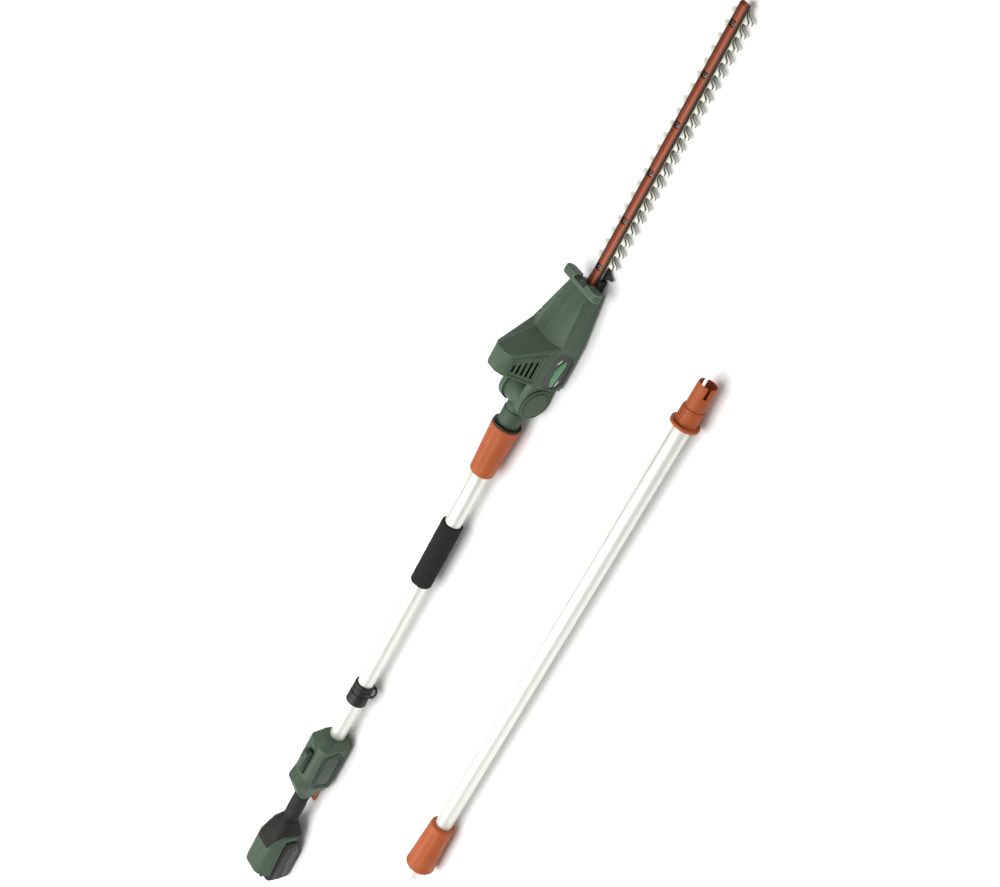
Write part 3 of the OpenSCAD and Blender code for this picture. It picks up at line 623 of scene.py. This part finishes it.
def make_battery():
    def level(z, d):
        """Outline at a height, drawn in by d; the front and the rear slope in below."""
        front = -976 - max(0, -13 - z) * 31 / 19
        rear = -1085 + max(0, -20 - z) * 9 / 12
        plan = rounded_plan(rear + d, front - d, BATTERY_HALF - d, 13 - d / 2, 8 - d / 2)
        return [(x, y, z) for x, y in plan]
    steps = [(-32, 3.4), (-31.7, 2.2), (-30.6, 0.9), (-28.5, 0.25), (-25, 0), (-13, 0), (-7, 0),
             (-6.4, 0.4), (-5.9, 1.7), (-4.4, 1.8), (-3.8, 0.7), (-3.2, 0.15), (-1, 0.1), (-0.4, 0.7)]
    flank = [(-1071, -12), (-1071.5, -14), (-1069.5, -24), (-1068, -26.3), (-1065, -27.5),
             (-1010, -27.5), (-1006, -26.6), (-1003, -25), (-990, -13.5), (-989.4, -11.6),
             (-990.6, -10), (-993, -9.2), (-1067.5, -9.2), (-1069.8, -10)]
    rise = [(0, -0.6), (0.3, 0.7), (0.8, 1.1), (1.4, 1.2), (1.8, 0.9), (2.1, 0.2), (2.4, 0.15)]
    v, f = join(rings_mesh([level(z, d) for z, d in steps]),
                *(relief(flank, rise, on_side(side, BATTERY_HALF)) for side in (-1, 1)))
    piece("battery_tub", "battery", "glossy_black", v, f, replaces=("battery_case",), sharp=48)
    steps = [(-0.4, 1), (0.1, 0.2), (2, 0), (8, 0.1), (10, 0.5), (11.6, 1.4), (12.6, 2.9), (13, 4.6)]
    rail = []
    for half, low, high in ((17.5, 13, 19), (21.6, 18, 23.5)):
        plan = [(-1078, -half), (-987, -half), (-987, half), (-1078, half)]
        rail.append(rings_mesh([[(x, y, z) for x, y in plan] for z in (low, high)]))
    v, f = join(rings_mesh([level(z, d) for z, d in steps]), *rail)
    piece("battery_cover", "battery", "black_plastic", v, f, replaces=("battery_lid",), sharp=48)


# Half sections of the rear housing: y and z of the top, y and z of the shoulder, then the flat
# side's y, upper z and lower z, and y and z of the bottom
NECK = [9, 20, 13, 17, 16, 11, 0, 10, -8]
SHOULDER = [11, 32, 19, 28, 28, 14, -12, 24, -18]
INSTEP = [17, 42, 22, 39.5, 30, 31, -13, 27, -18]
FOOT = [15, 42, 21.5, 39, 32.5, 28, -13, 28, -18]
REAR = [(-935, NECK), (-958, SHOULDER), (-990, INSTEP), (-1063, FOOT)]


def section(s):
    right = [(s[0], s[1]), (s[2], s[3]), (s[4], s[5]), (s[4], s[6]), (s[7], s[8])]
    return right + [(-y, z) for y, z in reversed(right)]


def rear_section(x):
    """Section of the rear housing, straight from one of the given ones to the next."""
    for (x0, a), (x1, b) in zip(REAR, REAR[1:]):
        if x >= x1:
            t = (x - x0) / (x1 - x0)
            return section([p + (q - p) * t for p, q in zip(a, b)])
    return section(FOOT)


SKIN_FRONT = -934.6
SKIN_SHOULDER = -958.4
SKIN_COLS, SHOULDER_COLS = 28, 8    # cells along the skin, and those before the shoulder
SKIN_CUTS = 72                      # cells round it


def make_overmould():
    """Rubber skin over the front and the top of the rear housing."""
    def skin(x, k, lift):
        """A point of the skin; k goes from one lower corner over the top to the other."""
        pts = rear_section(x)
        line = [Vector(p) for p in pts[5:] + pts[:5]]
        seg = k * (len(line) - 1)
        i = min(int(seg), len(line) - 2)
        p = line[i].lerp(line[i + 1], seg - i)
        d = (p - Vector((0, 12))).normalized()
        return (x, p.x + d.x * lift, p.y + d.y * lift)

    def rear_edge(k):
        """The skin reaches further back over the top than on the sides."""
        w = abs(k - 0.5) * 2
        w = max(0, min(1, (w * 9 / 7 - 0.1) / 0.6))
        return -997 + 37 * (w * w * (3 - 2 * w))

    grid = []
    for j in range(SKIN_CUTS + 1):
        end = rear_edge(j / SKIN_CUTS)
        line = []
        for i in range(SKIN_COLS + 1):
            if i <= SHOULDER_COLS:
                x = SKIN_FRONT - 23.8 * i / SHOULDER_COLS
            else:
                along = (i - SHOULDER_COLS) / (SKIN_COLS - SHOULDER_COLS)
                x = SKIN_SHOULDER + (end - SKIN_SHOULDER) * along
            border = min(i, SKIN_COLS - i, j, SKIN_CUTS - j) == 0
            line.append((x, j / SKIN_CUTS, 0.8 if i == 0 else 0.15 if border else 0.95))
        grid.append(line)
    n = SKIN_COLS + 1
    cells = [p for line in grid for p in line]
    v = [skin(*p) for p in cells] + [skin(x, k, -0.6) for x, k, _ in cells]
    off, f = len(grid) * n, []
    for j in range(SKIN_CUTS):
        for i in range(SKIN_COLS):
            a, b, c, d = j * n + i, j * n + i + 1, (j + 1) * n + i + 1, (j + 1) * n + i
            f += [(a, b, c, d), (off + d, off + c, off + b, off + a)]
    rim = [j * n for j in range(SKIN_CUTS + 1)] + [SKIN_CUTS * n + i for i in range(1, n)]
    rim += [j * n + SKIN_COLS for j in range(SKIN_CUTS - 1, -1, -1)] + list(range(SKIN_COLS - 1, 0, -1))
    for i, a in enumerate(rim):
        b = rim[(i + 1) % len(rim)]
        f.append((a, b, off + b, off + a))
    piece("rear_overmould", "pole", "grip_rubber", v, f, sharp=14)


SIDES = ((-1, "right"), (1, "left"))


def make_rear_ribs():
    """Raised band up each side of the rear housing, behind its rubber, and back above the battery."""
    path = [(-966, -11.5), (-966, -10.5), (-966, -2)] + arc(-978.8, 6, 12.8, 0, 90, 10)
    path = [Vector(p) for p in path + [(x, 18.8) for x in (-985, -990, -1010, -1035, -1061, -1062)]]
    last = len(path) - 1
    for side, word in SIDES:
        rings = []
        for i, p in enumerate(path):
            run = (path[min(i + 1, last)] - path[max(i - 1, 0)]).normalized()
            across = Vector((run.y, -run.x))
            rise = 1.3 if 0 < i < last else 0.2
            ring = []
            for w, h in ((-4, -0.8), (-3.6, rise * 0.7), (-2.8, rise),
                         (2.8, rise), (3.6, rise * 0.7), (4, -0.8)):
                q = p + across * w
                y = max(abs(c[0]) for c in rear_section(q.x))
                ring.append((q.x, side * (y + h), q.y))
            rings.append(ring)
        v, f = rings_mesh(rings)
        piece("rear_rib_" + word, "pole", "green_plastic", v, f, mat=mid_green, sharp=30)


def make_guard_recess_shade():
    """Darker face of the cross guard round the bar: painted shade in the recess the bar comes out of."""
    corners = ((14.6, 9.6), (-14.6, 9.6), (-14.6, -9.6), (14.6, -9.6))
    rings = [[(333.2 + h, y * k, 3 + z * k) for y, z in corners]
             for h, k in ((-0.8, 1), (0.5, 1), (0.9, 0.97), (0.9, 0.86), (0.3, 0.82))]
    v, f = rings_mesh(rings)
    piece("guard_recess_shade", "head", "dark_green_plastic", v, f, sharp=30)


PANEL = [(-739, 31.5), (-729, 1), (-748, -17), (-812, -18), (-823, -13), (-823, 15), (-810, 29.5)]


def make_panels():
    """Recessed side panels of the handle, each with a raised frame inside its rim."""
    for side, word in SIDES:
        steps = [(0, -1.4), (0.1, -1.3), (2.4, -1.3), (2.8, 0.5), (3.4, 0.7),
                 (5.6, 0.6), (6.1, -1.2), (8.2, -1.2), (8.8, 0), (9.6, 0.2)]
        v, f = relief(PANEL, steps, on_side(side, 27))
        piece("grip_panel_" + word, "pole", "dark_green_plastic", v, f,
              replaces=("side_panel_" + word,), sharp=20)


def make_nose_block():
    """Small block on top of the handle, in front of the lever."""
    v, f = relief([(-727.5, 7), (-740, 8), (-740, -8), (-727.5, -7)],
                  [(0, 0), (0.4, 1.6), (1.6, 2.6)], lambda p, h: (p[0], p[1], 41 + h))
    piece("nose_block", "pole", "green_plastic", v, f, mat=mid_green, bevel=0.6)


def make_head_trim():
    """Frames of the vents, and the glossy side plates with a plain band and two pale dashes, which are painted
    highlights.
    """
    vent = [(166, -8), (193, -8), (211, -56), (160, -56)]
    vent_steps = [(-3.6, -0.6), (-3, 1.1), (-1.2, 1.2), (-0.4, -0.2), (0.4, -1.6), (-1.5, -1.6)]
    badge = [(149, -9), (161, -22), (203, -22), (215, -13), (219, 11), (210, 21), (168, 25), (153, 18)]
    frame_steps = [(-2.8, -0.8), (-2.3, 0.7), (-0.9, 0.8), (0.1, -0.6), (0.6, -1.6), (-1.5, -1.6)]
    insert_steps = [(0.3, -1.9), (0.5, -0.9), (2, -0.4), (3, -0.6), (3.6, -1.1), (5, -1.1)]
    band = [(153, 5), (172, 11), (194, 7.5), (207, -3), (204, -8), (194, -9), (172, -5), (155, -1)]
    # two pale dashes on each plate: painted highlights on the glossy insert
    dashes = ([(200, 11.5), (208, 4.5), (209.5, 6.5), (201.5, 13.5)],
              [(155, -8), (166, -11.5), (166.6, -9.4), (155.6, -6)])
    for side, word in SIDES:
        v, f = relief(vent, vent_steps, on_slope(side), closed=True)
        piece("vent_frame_" + word, "head", "green_plastic", v, f, bevel=0.3)
        place = on_side(side, 44)
        v, f = relief(badge, frame_steps, place, closed=True)
        piece("badge_frame_" + word, "head", "green_plastic", v, f, bevel=0.3)
        v, f = relief(badge, insert_steps, place)
        piece("badge_insert_" + word, "head", "glossy_black", v, f,
              replaces=("badge_plate_" + word,), sharp=20)
        v, f = relief(band, [(0, -1.3), (0.3, -0.5), (1.2, -0.1), (2.4, 0.1)], place)
        piece("badge_stripe_" + word, "head", "glossy_black", v, f, mat=badge_green, sharp=30)
        v, f = join(*(relief(dash, [(0, -1.3), (0.4, -0.3)], place) for dash in dashes))
        piece("badge_highlight_dash_" + word, "head", "glossy_black", v, f, mat=pale_print_and_highlight)


def make_cap():
    """Turned cap of the tilt pin, on the right."""
    profile = [(4.6, 0.5), (4.6, 29.2), (3.2, 29.6), (2.2, 29), (1.9, 25.4), (2.6, 24.6), (2.6, 23.8),
               (1.0, 23), (0.4, 21.6), (0.3, 12), (0.2, 0.5)]
    v, f = lathe(profile, (TILT_PIN_X, -36, 0), axis="y")
    piece("hinge_cap", "head", "green_plastic", v, f, mat=mid_green,
          replaces=("pivot_cap_right",), sharp=24)


make_camera()
make_studio()
slots = {s["node"]: s["material_slot"] for s in frame["record"]["subparts"]}
# width in mm of the rounding, the least angle that is rounded, and whether the edges get a paler painted highlight
PLAIN = (0.5, 28, False)
STYLE = {
    "head_shell_left": (1.1, 3.5, True), "head_shell_right": (1.1, 3.5, True),
    "handle_shell_left": (1.0, 5, True), "handle_shell_right": (1.0, 5, True),
    "cross_guard": (1.6, 24, True), "neck_yoke": (0.9, 30, False), "lock_off_lever": (1.7, 16, False),
    "upper_blade": (0.25, 50, False), "lower_blade": (0.25, 50, False), "guard_bar": (0.5, 12, False),
    "trigger": (1.2, 20, False), "entry_block": (1.2, 28, False), "pole_tube": (0.3, 30, False),
    "extension_plug": (0.7, 30, False), "tilt_button": (1.4, 28, False),
}
for name in nodes:
    finish_node(name, slots[name], *STYLE.get(name, PLAIN))
make_sleeves()
make_foam()
make_grip()
make_strap()
make_battery()
make_overmould()
make_rear_ribs()
make_guard_recess_shade()
make_panels()
make_nose_block()
make_head_trim()
make_cap()
